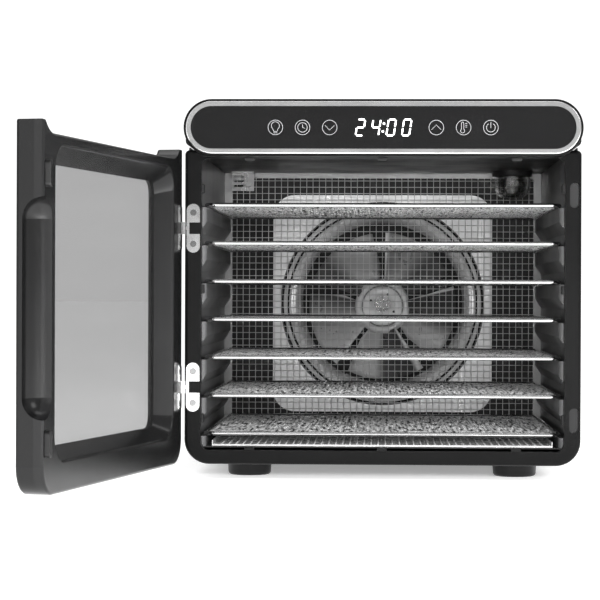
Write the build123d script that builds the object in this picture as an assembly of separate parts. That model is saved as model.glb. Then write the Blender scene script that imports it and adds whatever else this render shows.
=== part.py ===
from build123d import *

import os
from math import asin, cos, radians, sin, sqrt

# Food dehydrator: a black cabinet with a glass door on the left, seven sliding mesh trays and a
# fan behind a guard at the back.
#
# Millimetres. The origin is on the table, under the middle of the front frame's front face.
# +X is to the right as a user faces the cabinet, +Y is to the rear and +Z is up.
# The rest pose has the door open by DOOR_OPEN degrees and every tray pushed in.

# ---- cabinet ---------------------------------------------------------------------------------
BODY_W = 340.0
BODY_D = 410.0  # front frame to rear panel, without the door and the motor bulge
BODY_BOTTOM = 12.8
FRAME_TOP = 283.0
COVER_BOTTOM = 286.0
BODY_TOP = 323.0
LOWER_CORNER_R = 21.5
FRAME_DEPTH = 12.0
REAR_RIM_DEPTH = 10.0
CASING_INSET = 2.5  # the casing stands this far inside the frame's outline
SHEET_T = 1.0  # the outer casing's sheet
LINER_T = 0.8  # the chamber's floor and ceiling sheets

# ---- door opening and chamber ----------------------------------------------------------------
OPENING_X = 155.8
OPENING_BOTTOM = 24.8
OPENING_TOP = 276.1
RACK_BACK_X = 158.5  # bottom of the grooves that the trays run in
LEDGE_X = 152.0
RACK_OUT_X = 161.0
CHAMBER_FRONT = 12.3
CHAMBER_BACK = 316.0
FLOOR_TOP = 27.4
CEILING = 281.0
GUARD_Y = 317.0
BACK_WALL_Y = 330.0

# ---- trays -----------------------------------------------------------------------------------
TRAY_COUNT = 7
TRAY_PITCH = 33.0
TOP_TRAY_Z = 236.4
TRAY_HALF_W = 154.7
TRAY_FRONT = 14.2
TRAY_BACK = 312.0
ROD_R = 1.9
MESH_T = 0.3  # the grids as plain sheets of about the same mass as their wires
CLEAR = 0.3  # gap between bodies that move past each other

# ---- controls --------------------------------------------------------------------------------
CAPSULE_W = 338.5
CAPSULE_H = 48.4
CAPSULE_Z = 300.5
CAPSULE_FRONT = -24.5
RING_INSET = 1.9  # the silver ring's outline inside the shell's
PANEL_INSET = 6.1  # the touch panel's outline inside the shell's

# ---- door and hinge --------------------------------------------------------------------------
DOOR_OPEN = 101.6
DOOR_X = 169.4
DOOR_BOTTOM = 14.0
DOOR_TOP = 274.1
EAR_TOP = 282.9
DOOR_INNER = -1.5
DOOR_OUTER = -23.0
DOOR_SPLIT = -9.0  # joint plane between the outer moulding and the inner one
GLASS_BACK = -18.0
GLASS_FRONT = -20.8
WINDOW = (-141.0, 141.0, 45.5, 254.6)  # the clear opening at the glass: x0, x1, z0, z1
RECESS = (-144.4, 144.4, 37.0, 266.0)  # the same opening where it meets the inner face
HINGE_X = -170.9
HINGE_Y = -0.9
HINGE_Z = (79.0, 215.6)
LEAF_W = 11.5
LEAF_H = 42.0
LEAF_T = 1.2
LEAF_PROUD = 0.2
NOTCH_H = 9.9  # the leaf's middle is cut away to here, and its two ends join beside the barrel
LEAF_X = -162.6  # the middle of a hinge leaf, on the cabinet and on the closed door alike
BARREL_R = 2.2
BARREL_ROOM_R = 2.6
PIN_R = 1.2
RUNNING_GAP = 0.05
KNUCKLE_H = 3.3
KNUCKLE_GAP = 0.3
SCREW_SPACING = 27.0

# ---- fan -------------------------------------------------------------------------------------
FAN_Z = 150.5
FAN_R = 76.0
BLADES = 5
FIRST_BLADE = 15.0
HUB_FRONT = 343.8
SHAFT_R = 3.0
MOTOR_FRONT = 364.0
MOTOR_BACK = 394.0

# ---- lamp ------------------------------------------------------------------------------------
LAMP_X = 127.0
LAMP_Y = 280.0

# ---- feet and catches ------------------------------------------------------------------------
FOOT_X = 116.8
FOOT_Y = (58.0, 352.0)
FOOT_R = 19.8
CATCH_X = 164.0
CATCH_Z = (51.6, 244.4)
CATCH_H = 19.6
CATCH_W = 6.0
LUG_REACH = 4.2  # how far the door's keepers stand out of its inner face


# ---- mains inlet -----------------------------------------------------------------------------
INLET_X = 115.0
INLET_Z = 60.0


# ---- small tools -----------------------------------------------------------------------------
def block(x0, x1, y0, y1, z0, z1):
    """A box from its six limits."""
    return Pos((x0 + x1) / 2, (y0 + y1) / 2, (z0 + z1) / 2) * Box(x1 - x0, y1 - y0, z1 - z0)


def front_plane(y):
    """A plane that faces the user, whose own x and y are the cabinet's X and Z."""
    return Plane(origin=(0, y, 0), x_dir=(1, 0, 0), z_dir=(0, -1, 0))


def slab(sketch, y0, y1):
    """An outline in X and Z, made solid from y0 to y1."""
    return extrude(front_plane(y1) * sketch, amount=y1 - y0)


def rod_y(x, z, r, y0, y1):
    """A round bar along Y."""
    return Pos(x, (y0 + y1) / 2, z) * Rot(90, 0, 0) * Cylinder(r, y1 - y0)


def rod_z(x, y, r, z0, z1):
    """A round bar along Z."""
    return Pos(x, y, (z0 + z1) / 2) * Cylinder(r, z1 - z0)


def rounded(x0, x1, z0, z1, r):
    """A rectangle in X and Z with four equal round corners."""
    return Pos((x0 + x1) / 2, (z0 + z1) / 2) * RectangleRounded(x1 - x0, z1 - z0, r)


def outline(half_w, z0, z1, low_r, top_r):
    """A rectangle in X and Z with one radius at its lower corners and one at its upper corners."""
    sketch = Pos(0, (z0 + z1) / 2) * Rectangle(2 * half_w, z1 - z0)
    sketch = fillet(sketch.vertices().group_by(Axis.Y)[0], low_r)
    return fillet(sketch.vertices().group_by(Axis.Y)[-1], top_r)


def stadium(length, height):
    """The outline of the control panel: straight sides and full round ends."""
    return Pos(0, CAPSULE_Z) * SlotOverall(length, height)


def soften(solid, face_rank, r):
    """Round the outer edge of the solid's frontmost (0) or rearmost (-1) face."""
    face = solid.faces().sort_by(Axis.Y)[face_rank]
    return fillet(face.outer_wire().edges(), r)


def revolve_y(points, x, z):
    """A ring or cup: the outline is in (radius, y), turned about an axis along Y."""
    profile = make_face(Polyline(*points, close=True))
    return Pos(x, 0, z) * revolve(profile, Axis.Y)


def revolve_z(points, x, y):
    """A ring or cup: the outline is in (radius, z), turned about an upright axis."""
    profile = make_face(Plane.XZ * Polyline(*points, close=True))
    return Pos(x, y, 0) * revolve(profile, Axis.Z)


def cross_screw(head_r, head_h, shank_r, shank_l):
    """A cross-head screw whose head's top is at z = 0 and whose shank points down."""
    head = Pos(0, 0, -head_h / 2) * Cylinder(head_r, head_h)
    head = fillet(head.edges().group_by(Axis.Z)[-1], 0.3 * head_h)
    for length, width in ((1.3, 0.28), (0.28, 1.3)):
        head -= Pos(0, 0, -0.25 * head_h) * Box(length * head_r, width * head_r, 0.6 * head_h)
    return head + Pos(0, 0, -head_h - shank_l / 2) * Cylinder(shank_r, shank_l)


def group(shapes):
    """Separate solids that share one file."""
    return Compound(children=[s for shape in shapes for s in shape.solids()])


def at_rest(shape):
    """Swing a door piece from its closed place to the open rest pose."""
    return shape.rotate(Axis((HINGE_X, HINGE_Y, 0), (0, 0, 1)), -DOOR_OPEN)


# ---- casing ----------------------------------------------------------------------------------
def leaf_pocket():
    """Room for the hinge leaves and their arms in a face at y = 0 that material stands behind."""
    pocket = Sketch()
    for z in HINGE_Z:
        pocket += Pos(LEAF_X, z) * SlotOverall(LEAF_H, LEAF_W, rotation=90)
    cut = slab(pocket, -1, LEAF_T - LEAF_PROUD)
    half = 1.5 * KNUCKLE_H + 2 * KNUCKLE_GAP
    for z in HINGE_Z:
        cut += block(HINGE_X - 4, LEAF_X, -4, LEAF_T - LEAF_PROUD, z - half, z + half)
    return cut


def barrel_room():
    """Round room for the hinge barrels in the closed door's edge."""
    half = 1.5 * KNUCKLE_H + 2 * KNUCKLE_GAP
    return Part() + [rod_z(HINGE_X, HINGE_Y, BARREL_ROOM_R, z - half, z + half) for z in HINGE_Z]


def catch_outline(z, gap=0.0):
    """The upright slot shape of a door keeper, or of the pocket it drops into."""
    return Pos(CATCH_X, z) * SlotOverall(CATCH_H + 2 * gap, CATCH_W + 2 * gap, rotation=90)


def screw_places():
    """The heights of the hinge screws."""
    return [z + side * SCREW_SPACING / 2 for z in HINGE_Z for side in (-1, 1)]


def front_frame():
    """The black bezel round the door opening, with sunk places for hinge leaves and magnets."""
    frame = slab(outline(BODY_W / 2, BODY_BOTTOM, FRAME_TOP, LOWER_CORNER_R, 4.0), 0, FRAME_DEPTH)
    frame = soften(frame, 0, 3.0)
    mouth = slab(rounded(-OPENING_X, OPENING_X, OPENING_BOTTOM, OPENING_TOP, 7.0), -1, FRAME_DEPTH + 1)
    frame -= mouth
    frame -= leaf_pocket()
    for z in screw_places():
        frame -= rod_y(LEAF_X, z, 1.5, 0, 9)
    for z in CATCH_Z:
        frame -= slab(catch_outline(z, 1.0), -1, 6)
    return frame


def casing_wrap():
    """One bent sheet: both sides and the underside, open at the top, front and rear."""
    half = BODY_W / 2 - CASING_INSET
    bottom = BODY_BOTTOM + CASING_INSET
    r = LOWER_CORNER_R - CASING_INSET
    top = COVER_BOTTOM - 0.2
    skin = outline(half, bottom, top, r, 0.5)
    hollow = outline(half - SHEET_T, bottom + SHEET_T, top + 5, r - SHEET_T, 0.5)
    wrap = slab(skin, FRAME_DEPTH, BODY_D - REAR_RIM_DEPTH) - slab(hollow, 0, BODY_D)
    for x in (-FOOT_X, FOOT_X):
        for y in FOOT_Y:
            wrap -= rod_z(x, y, 2.0, bottom - 1, bottom + SHEET_T + 1)
    return wrap


def top_cover():
    """The moulded lid over the electronics, open underneath, with a closed front wall."""
    half = BODY_W / 2 - 0.5
    wall = 2.5
    lid = slab(outline(half, COVER_BOTTOM, BODY_TOP, 5.0, 23.0), 0, BODY_D - REAR_RIM_DEPTH)
    room = outline(half - wall, COVER_BOTTOM + wall, BODY_TOP - wall, 4.0, 20.5)
    lid -= slab(room, wall, BODY_D)
    lid -= block(-RACK_BACK_X, RACK_BACK_X, 20, BODY_D, COVER_BOTTOM - 1, COVER_BOTTOM + wall + 1)
    return lid - block(-30, 30, -1, wall + 1, 295, 308)


def rear_panel():
    """The moulded back with its motor bulge, air slots, inlet cut-out and outer rim."""
    whole = outline(BODY_W / 2, BODY_BOTTOM, BODY_TOP, LOWER_CORNER_R, 23.0)
    panel = slab(whole, BODY_D - REAR_RIM_DEPTH, BODY_D)
    panel = soften(panel, -1, 3.0)
    inside = outline(BODY_W / 2 - 3.5, BODY_BOTTOM + 3.5, BODY_TOP - 3.5, LOWER_CORNER_R - 3, 20.0)
    panel -= slab(inside, BODY_D - REAR_RIM_DEPTH - 1, BODY_D - 3)
    bulge = revolve_y([(0, BODY_D - 3), (88, BODY_D - 3), (76, 422), (0, 422)], 0, FAN_Z)
    bulge = fillet(bulge.edges().sort_by(Axis.Y)[-1], 3.0)
    hollow = revolve_y([(0, BODY_D - 4), (82, BODY_D - 4), (73, 419), (0, 419)], 0, FAN_Z)
    panel = panel + bulge - hollow
    for turn in range(0, 360, 15):
        slot = Pos(48, 0) * RectangleRounded(32, 3.2, 1.5)
        panel -= slab(Pos(0, FAN_Z) * Rot(0, 0, turn) * slot, BODY_D, 425)
    for row in range(6):
        slots = Pos(0, 262 + 6.5 * row) * RectangleRounded(150, 3.0, 1.4)
        panel -= slab(slots, BODY_D - 5, BODY_D + 5)
    panel -= slab(Pos(INLET_X, INLET_Z) * RectangleRounded(28.2, 20.7, 2.5), BODY_D - 5, BODY_D + 5)
    for x, z in rear_screws() + inlet_screws():
        panel -= rod_y(x, z, 1.7, BODY_D - 5, BODY_D + 5)
    return panel


def rear_screws():
    """Places of the screws that hold the rear panel."""
    return [(x, z) for x in (-150.0, 150.0) for z in (34.0, 160.0, 292.0)]


def inlet_screws():
    """Places of the two screws at the mains inlet's ears."""
    return [(INLET_X - 20.0, INLET_Z), (INLET_X + 20.0, INLET_Z)]


def case_screws():
    """The self-tapping screws of the rear panel, the mains inlet and the feet."""
    shapes = []
    for x, z in rear_screws():
        shapes.append(Pos(x, BODY_D + 2, z) * Rot(-90, 0, 0) * cross_screw(3.4, 2.0, 1.6, 9.0))
    for x, z in inlet_screws():
        shapes.append(Pos(x, BODY_D + 4.4, z) * Rot(-90, 0, 0) * cross_screw(3.0, 1.8, 1.6, 8.0))
    for x in (-FOOT_X, FOOT_X):
        for y in FOOT_Y:
            shapes.append(Pos(x, y, 4.0) * Rot(180, 0, 0) * cross_screw(4.0, 2.0, 1.9, 14.0))
    return group(shapes)


def feet():
    """Four tapered rubber feet, each with a counterbore for its screw."""
    height = BODY_BOTTOM + CASING_INSET
    shapes = []
    for x in (-FOOT_X, FOOT_X):
        for y in FOOT_Y:
            foot = Pos(x, y, height / 2) * Cone(FOOT_R - 1.2, FOOT_R, height)
            foot = fillet(foot.edges().group_by(Axis.Z)[0], 3.0)
            foot -= rod_z(x, y, 5.0, -1, 6.0)
            shapes.append(foot - rod_z(x, y, 2.0, 5, height + 1))
    return group(shapes)


def frame_clips():
    """Twelve small black tabs that stand in from the frame's inner edge."""
    reach = 2.6
    shapes = []
    for x in (-114.0, 0.0, 115.0):
        for z, side in ((OPENING_BOTTOM, 1), (OPENING_TOP, -1)):
            tab = block(x - 4.2, x + 4.2, 2, 10, min(z, z + side * reach), max(z, z + side * reach))
            inner = tab.faces().sort_by(Axis.Z)[-1 if side > 0 else 0]
            shapes.append(fillet(inner.edges(), 1.6))
    for z in (52.0, 163.5, 250.0):
        for side in (-1, 1):
            edge = side * OPENING_X
            tip = side * (OPENING_X - reach)
            tab = block(min(edge, tip), max(edge, tip), 2, 10, z - 4, z + 4)
            inner = tab.faces().sort_by(Axis.X)[-1 if side < 0 else 0]
            shapes.append(fillet(inner.edges(), 1.6))
    return group(shapes)


def frame_magnets():
    """Two oblong magnets in the frame's right side that hold the door shut."""
    return group(
        slab(catch_outline(z, 1.0), 3.4, 6) for z in CATCH_Z
    )


# ---- chamber ---------------------------------------------------------------------------------
def rail_heights():
    """The height of each tray's rod centres, from the top tray down."""
    return [TOP_TRAY_Z - TRAY_PITCH * n for n in range(TRAY_COUNT)]


def tray_rack(side):
    """One ribbed side wall: a ledge with a sloping underside beneath each tray."""
    points = [(RACK_OUT_X, CEILING - 0.2), (RACK_BACK_X, CEILING - 0.2)]
    for rail in rail_heights():
        top = rail - ROD_R - CLEAR
        points += [(RACK_BACK_X, top), (LEDGE_X, top)]
        if top - 22 > FLOOR_TOP:
            points += [(LEDGE_X, top - 12), (RACK_BACK_X, top - 22)]
    points += [(LEDGE_X, FLOOR_TOP), (RACK_OUT_X, FLOOR_TOP)]
    profile = make_face(Polyline(*[(side * x, z) for x, z in points], close=True))
    rack = slab(profile, CHAMBER_FRONT, CHAMBER_BACK)
    ends = rack.edges().filter_by(Axis.Z).filter_by_position(Axis.Y, CHAMBER_FRONT - 0.1, CHAMBER_FRONT + 0.1)
    ends = [e for e in ends if abs(abs(e.center().X) - LEDGE_X) < 0.1]
    return fillet(ends, 4.0)


def chamber_ceiling():
    """The black sheet over the trays, with the lamp's hole."""
    sheet = block(-RACK_OUT_X, RACK_OUT_X, CHAMBER_FRONT, BACK_WALL_Y - 1, CEILING, CEILING + LINER_T)
    return sheet - rod_z(LAMP_X, LAMP_Y, 16.2, CEILING - 1, CEILING + 3)


def chamber_floor():
    """The sheet that the drip tray lies on."""
    return block(-RACK_OUT_X, RACK_OUT_X, CHAMBER_FRONT, BACK_WALL_Y - 1, FLOOR_TOP - LINER_T, FLOOR_TOP)


def chamber_back_wall():
    """The black pressed pan behind the guard, with the air hole."""
    pan = slab(rounded(-160.8, 160.8, FLOOR_TOP + 0.1, CEILING - 0.1, 3.0), 320.5, BACK_WALL_Y + 1.5)
    pan -= slab(rounded(-159.3, 159.3, FLOOR_TOP + 1.6, CEILING - 1.6, 2.0), 319, BACK_WALL_Y)
    return pan - rod_y(0, FAN_Z, 92.0, 319, 340)


def fan_plate():
    """The bright stainless plate round the air opening."""
    plate = slab(rounded(-110, 110, FAN_Z - 109, FAN_Z + 109, 22.0), 328.4, BACK_WALL_Y)
    return plate - rod_y(0, FAN_Z, 94.5, 319, 340)


def fan_rim():
    """The polished bell-mouth that leads the air into the fan."""
    turned = [
        (101.0, 328.4), (99.6, 325.6), (97.0, 324.4), (94.4, 325.4), (92.4, 327.6),
        (88.0, 328.6), (84.4, 331.2), (82.0, 335.6), (81.0, 341.0), (79.6, 341.0),
        (80.6, 334.8), (83.2, 330.0), (87.4, 327.0), (91.6, 325.9), (93.6, 323.9),
        (97.0, 322.6), (100.8, 324.4), (102.4, 328.4),
    ]
    return revolve_y(turned, 0, FAN_Z)


def fan_guard_frame():
    """The bright border of the guard, with a wide flange at its top."""
    outer = rounded(-158.3, 158.3, FLOOR_TOP + 0.1, CEILING - 0.2, 2.0)
    inner = rounded(-150.5, 150.5, FLOOR_TOP + 2.2, OPENING_TOP - 0.4, 2.0)
    return slab(outer, GUARD_Y, GUARD_Y + 2.6) - slab(inner, GUARD_Y - 1, GUARD_Y + 4)


def fan_guard_mesh():
    """The wire grid of the guard, as one flat sheet inside the border."""
    middle = GUARD_Y + 1.3
    sheet = rounded(-150.5, 150.5, FLOOR_TOP + 2.2, OPENING_TOP - 0.4, 2.0)
    return slab(sheet, middle - MESH_T / 2, middle + MESH_T / 2)


def sensor_bracket():
    """The slotted bracket and probe that hang from the ceiling at the rear left."""
    plate = block(-150, -128, 298, 299.5, 262, CEILING)
    plate += block(-150, -128, 290, 299.5, CEILING - 1.5, CEILING)
    for z in (267.0, 272.0, 276.5):
        plate -= slab(Pos(-143, z) * RectangleRounded(10, 2.4, 1.1), 290, 302)
    return plate + rod_y(-133, 268.5, 2.6, 289, 306)


# ---- fan, motor and heater -------------------------------------------------------------------
def fan_housing():
    """The round pan behind the fan that carries the motor."""
    pan = rod_y(0, FAN_Z, 107.0, BACK_WALL_Y + 1.5, 363.0) - rod_y(0, FAN_Z, 105.5, 320, 361.5)
    pan -= rod_y(0, FAN_Z, 7.2, 355, 370)
    for x in (-20.0, 20.0):
        pan -= rod_y(x, FAN_Z - 84, 2.6, 355, 370)
    return pan


def fan_blades():
    """Five twisted sheet blades on a round hub plate."""
    wheel = rod_y(0, 0, 27.0, 345.0, 346.6)
    blade = make_face(
        Polyline((16, -9), (40, -24), (FAN_R, -25), (FAN_R, 16), (62, 22), (30, 12), (16, 8), close=True)
    )
    blade &= Circle(FAN_R)
    for n in range(BLADES):
        leaf = Rot(26, 0, 0) * (Pos(0, 345.8, 0) * slab(blade, -0.6, 0.6)).moved(Pos(0, -345.8, 0))
        leaf = Pos(0, 345.8, 0) * leaf
        wheel += Rot(0, FIRST_BLADE + 360.0 / BLADES * n, 0) * leaf
    wheel += rod_y(0, 0, 20.5, HUB_FRONT, 345.0)
    wheel -= rod_y(0, 0, SHAFT_R, 330, 360)
    for n in range(4):
        turn = radians(64.5 + 90.0 * n)
        wheel -= rod_y(12.9 * cos(turn), 12.9 * sin(turn), 1.3, 330, 360)
    return Pos(0, 0, FAN_Z) * wheel


def fan_nut():
    """The hexagonal nut and its washer on the end of the shaft."""
    nut = extrude(front_plane(HUB_FRONT) * RegularPolygon(6.4, 6), amount=5.0)
    nut += rod_y(0, 0, 8.5, HUB_FRONT - 1.0, HUB_FRONT)
    nut -= rod_y(0, 0, SHAFT_R, 330, 350)
    return Pos(0, 0, FAN_Z) * nut


def motor_shaft():
    """The shaft through the motor, with the fan on its front end."""
    return rod_y(0, FAN_Z, SHAFT_R, 337.0, MOTOR_BACK + 4)


def fan_motor():
    """Laminated motor with a round housing, two bearing bosses and mounting ears."""
    motor = rod_y(0, FAN_Z, 31.0, MOTOR_FRONT + 2, MOTOR_BACK - 2)
    motor += slab(Pos(0, FAN_Z) * RectangleRounded(72, 58, 6), MOTOR_FRONT + 8, MOTOR_BACK - 8)
    motor += rod_y(0, FAN_Z, 9.0, MOTOR_FRONT, MOTOR_BACK)
    for x in (-44.0, 44.0):
        motor += slab(Pos(x * 0.8, FAN_Z) * RectangleRounded(26, 14, 3), MOTOR_FRONT - 1, MOTOR_FRONT + 3)
    motor += rod_y(0, FAN_Z, 9.0, MOTOR_FRONT - 1, MOTOR_FRONT + 1)
    return motor - rod_y(0, FAN_Z, SHAFT_R + RUNNING_GAP, MOTOR_FRONT - 5, MOTOR_BACK + 5)


def heating_element():
    """A ring of tube heater round the fan, with two straight ends through the housing."""
    ring = Pos(0, 352, FAN_Z) * Rot(90, 0, 0) * Torus(92.0, 3.2)
    for x in (-20.0, 20.0):
        ring += rod_y(x, FAN_Z - 84, 2.6, 349, 372)
        ring += block(x - 2, x + 2, 350, 354, FAN_Z - 92, FAN_Z - 84)
    return ring


def thermal_cutout():
    """The safety cut-out on the back of the fan housing."""
    base = block(60, 82, 363, 371, FAN_Z + 28, FAN_Z + 42)
    for x in (66.0, 76.0):
        base += block(x - 3.2, x + 3.2, 371, 379, FAN_Z + 34.6, FAN_Z + 35.4)
    return base


# ---- lamp ------------------------------------------------------------------------------------
def lamp_socket():
    """The black ceramic base ring and the part above the ceiling."""
    ring = rod_z(LAMP_X, LAMP_Y, 19.5, 275.5, CEILING)
    ring = fillet(ring.edges().group_by(Axis.Z)[0], 1.2)
    ring += rod_z(LAMP_X, LAMP_Y, 16.0, CEILING, CEILING + 24)
    return ring - rod_z(LAMP_X, LAMP_Y, 8.2, 274, CEILING + 10)


def lamp_glass():
    """The clear dome over the bulb."""
    outer = [(17.9, 275.5), (17.9, 268.0), (17.0, 262.5), (14.6, 258.0), (10.8, 255.0), (0, 254.0)]
    inner = [(0, 255.6), (10.2, 256.5), (13.4, 259.1), (15.5, 263.0), (16.3, 268.0), (16.3, 275.5)]
    return revolve_z(outer + inner, LAMP_X, LAMP_Y)


def lamp_bulb():
    """A small capsule bulb with a metal base."""
    glass = rod_z(LAMP_X, LAMP_Y, 6.5, 259.0, 273.0)
    glass = fillet(glass.edges().group_by(Axis.Z)[0], 5.8)
    return glass + rod_z(LAMP_X, LAMP_Y, 8.0, 273.0, CEILING + 8)


# ---- controls --------------------------------------------------------------------------------
def control_housing():
    """The capsule-shaped shell that stands forward of the top cover."""
    shell = slab(stadium(CAPSULE_W, CAPSULE_H), CAPSULE_FRONT, 0)
    shell = soften(shell, 0, 1.2)
    inset = 2 * RING_INSET - 0.2
    room = slab(stadium(CAPSULE_W - inset, CAPSULE_H - inset), CAPSULE_FRONT - 1, -3)
    return shell - room - block(-30, 30, -4, 1, 295, 308)


def control_trim_ring():
    """The silver ring round the touch panel."""
    outer = stadium(CAPSULE_W - 2 * RING_INSET, CAPSULE_H - 2 * RING_INSET)
    inner = stadium(CAPSULE_W - 2 * PANEL_INSET, CAPSULE_H - 2 * PANEL_INSET)
    ring = soften(slab(outer, CAPSULE_FRONT - 0.4, CAPSULE_FRONT + 4), 0, 0.8)
    return ring - slab(inner, CAPSULE_FRONT - 2, CAPSULE_FRONT + 6)


def touch_panel():
    """The glossy black panel that carries the touch keys and covers the display."""
    inset = 2 * PANEL_INSET + 0.2
    return slab(stadium(CAPSULE_W - inset, CAPSULE_H - inset), CAPSULE_FRONT + 0.6, CAPSULE_FRONT + 3)


def control_board():
    """The key and display board behind the touch panel."""
    front = CAPSULE_FRONT + 3.2
    back = front + 3.0
    board = block(-125, 125, back, back + 1.6, CAPSULE_Z - 14, CAPSULE_Z + 14)
    board += block(-28, 28, front, back, CAPSULE_Z - 10, CAPSULE_Z + 10)
    for x in (-91.0, -68.0, -45.0, 45.0, 68.0, 91.0):
        board += rod_y(x, CAPSULE_Z, 6.0, front, back)
    return board


def power_board():
    """The mains board under the top cover, with its transformer, relay and capacitor."""
    board = block(-90, 20, 60, 150, 292, 293.6)
    board += block(-80, -48, 75, 110, 293.6, 315)
    board += block(-35, -15, 80, 95, 293.6, 309)
    board += rod_z(2, 130, 6.0, 293.6, 312)
    return board + rod_z(-62, 134, 5.0, 293.6, 308)


def mains_inlet():
    """The three-pin appliance inlet in the rear panel."""
    face = BODY_D + 2.4
    body = slab(Pos(INLET_X, INLET_Z) * RectangleRounded(27.8, 20.3, 2.4), face - 24, face)
    body += slab(Pos(INLET_X, INLET_Z) * RectangleRounded(50, 24, 5), BODY_D, face)
    body -= slab(Pos(INLET_X, INLET_Z) * RectangleRounded(24.6, 16.8, 1.6), face - 17, face + 1)
    for dx, dz in ((-7.0, -2.2), (0.0, 2.2), (7.0, -2.2)):
        x, z = INLET_X + dx, INLET_Z + dz
        body += block(x - 1, x + 1, face - 17, face - 5.5, z - 2.1, z + 2.1)
    for x, z in inlet_screws():
        body -= rod_y(x, z, 1.7, BODY_D - 1, BODY_D + 5)
    return body


# ---- door ------------------------------------------------------------------------------------
def door_outline():
    """The closed door's outline in X and Z: its ears rise beside the control panel's round ends."""
    centre_x = CAPSULE_W / 2 - CAPSULE_H / 2
    r = CAPSULE_Z - DOOR_TOP
    drop = CAPSULE_Z - EAR_TOP
    tip_x = centre_x + sqrt(r * r - drop * drop)
    turn = (radians(90) + asin(drop / r)) / 2
    mid_x = centre_x + r * cos(turn)
    mid_z = CAPSULE_Z - r * sin(turn)
    edges = [
        Line((-DOOR_X, DOOR_BOTTOM), (DOOR_X, DOOR_BOTTOM)),
        Line((DOOR_X, DOOR_BOTTOM), (DOOR_X, EAR_TOP)),
        Line((DOOR_X, EAR_TOP), (tip_x, EAR_TOP)),
        ThreePointArc((tip_x, EAR_TOP), (mid_x, mid_z), (centre_x, DOOR_TOP)),
        Line((centre_x, DOOR_TOP), (-centre_x, DOOR_TOP)),
        ThreePointArc((-centre_x, DOOR_TOP), (-mid_x, mid_z), (-tip_x, EAR_TOP)),
        Line((-tip_x, EAR_TOP), (-DOOR_X, EAR_TOP)),
        Line((-DOOR_X, EAR_TOP), (-DOOR_X, DOOR_BOTTOM)),
    ]
    sketch = Sketch() + make_face(edges)
    return fillet(sketch.vertices().group_by(Axis.Y)[0], LOWER_CORNER_R - 0.5)


def grip_scoop():
    """The finger recess in the door's free edge, open towards the cabinet."""
    floor_x = DOOR_X - 17
    lip_y = DOOR_OUTER + 5.2
    scoop = block(floor_x, DOOR_X + 30, lip_y, 30, 68.5, 227.5)
    deep = [e for e in scoop.edges() if abs(e.center().X - floor_x) < 0.1]
    thin = [e for e in scoop.edges() if abs(e.center().Y - lip_y) < 0.1]
    inner = [e for e in deep if e.center().Y < 20] + [e for e in thin if e.center().X < DOOR_X + 20]
    return fillet(inner, 15.5)


def grown(limits, by, r):
    """A round-cornered outline from (x0, x1, z0, z1), made larger all round."""
    x0, x1, z0, z1 = limits
    return rounded(x0 - by, x1 + by, z0 - by, z1 + by, r)


def recess_cut():
    """The window recess, narrowing from the inner face to the glass."""
    deep = front_plane(GLASS_BACK) * grown(WINDOW, 0, 11.0)
    face = front_plane(DOOR_INNER) * grown(RECESS, 0, 19.0)
    return loft([deep.face(), face.face()])


def door_screw_holes():
    """Pilot holes for the door's hinge screws."""
    holes = [rod_y(LEAF_X, z, 1.5, DOOR_INNER - 9, DOOR_INNER + 1) for z in screw_places()]
    return Part() + holes


def door_frame():
    """The outer moulding of the door, with the window and a seat for the glass."""
    frame = slab(door_outline(), DOOR_OUTER, DOOR_SPLIT)
    frame = soften(frame, 0, 2.5)
    frame -= slab(grown(WINDOW, 0, 11.0), DOOR_OUTER - 1, DOOR_SPLIT)
    frame -= slab(grown(WINDOW, 5.2, 13.0), GLASS_FRONT, DOOR_SPLIT)
    frame -= slab(grown(RECESS, 3.7, 18.0), GLASS_BACK, 0)
    return at_rest(frame - grip_scoop() - door_screw_holes() - barrel_room())


def door_inner_frame():
    """The inner moulding: a flat rim and a sloping surround that holds the glass in its seat."""
    plate = slab(door_outline(), DOOR_SPLIT, DOOR_INNER)
    plate = soften(plate, -1, 2.0)
    plate += slab(grown(RECESS, 3.6, 18.0), GLASS_BACK, DOOR_SPLIT)
    plate -= recess_cut()
    rim = [e for e in plate.edges() if on_recess_rim(e)]
    plate = fillet(rim, 2.4)
    plate -= mirror(leaf_pocket(), Plane.XZ).moved(Pos(0, DOOR_INNER, 0))
    for z in CATCH_Z:
        plate -= slab(catch_outline(z), -4, 0)
    return at_rest(plate - grip_scoop() - door_screw_holes() - barrel_room())


def on_recess_rim(edge):
    """Whether an edge of the inner moulding is where the window recess meets the inner face."""
    place = edge.center()
    inside = abs(place.X) < DOOR_X - 8 and DOOR_BOTTOM + 8 < place.Z < DOOR_TOP - 4
    return inside and abs(place.Y - DOOR_INNER) < 0.01


def door_glass():
    """The tempered pane, held between the two door mouldings."""
    return at_rest(slab(grown(WINDOW, 5.0, 13.0), GLASS_FRONT, GLASS_BACK))


def door_strikes():
    """Two steel keepers that stand out of the door's inner face and meet the magnets."""
    lugs = []
    for z in CATCH_Z:
        lug = slab(catch_outline(z), -4, DOOR_INNER + LUG_REACH)
        lugs.append(soften(lug, -1, 0.8))
    return at_rest(group(lugs))


# ---- hinges ----------------------------------------------------------------------------------
def leaf(z):
    """One obround leaf in its pocket at y = 0, with two screw holes and a notch in its middle."""
    plate = slab(
        Pos(LEAF_X, z) * SlotOverall(LEAF_H, LEAF_W, rotation=90), -LEAF_PROUD, LEAF_T - LEAF_PROUD
    )
    for side in (-1, 1):
        plate -= rod_y(LEAF_X, z + side * SCREW_SPACING / 2, 1.5, -2, 3)
        plate -= rod_y(LEAF_X, z + side * SCREW_SPACING / 2, 2.8, -2, 0.6)
    return plate - block(LEAF_X - 3.4, LEAF_X + LEAF_W, -2, 3, z - NOTCH_H / 2, z + NOTCH_H / 2)


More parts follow.
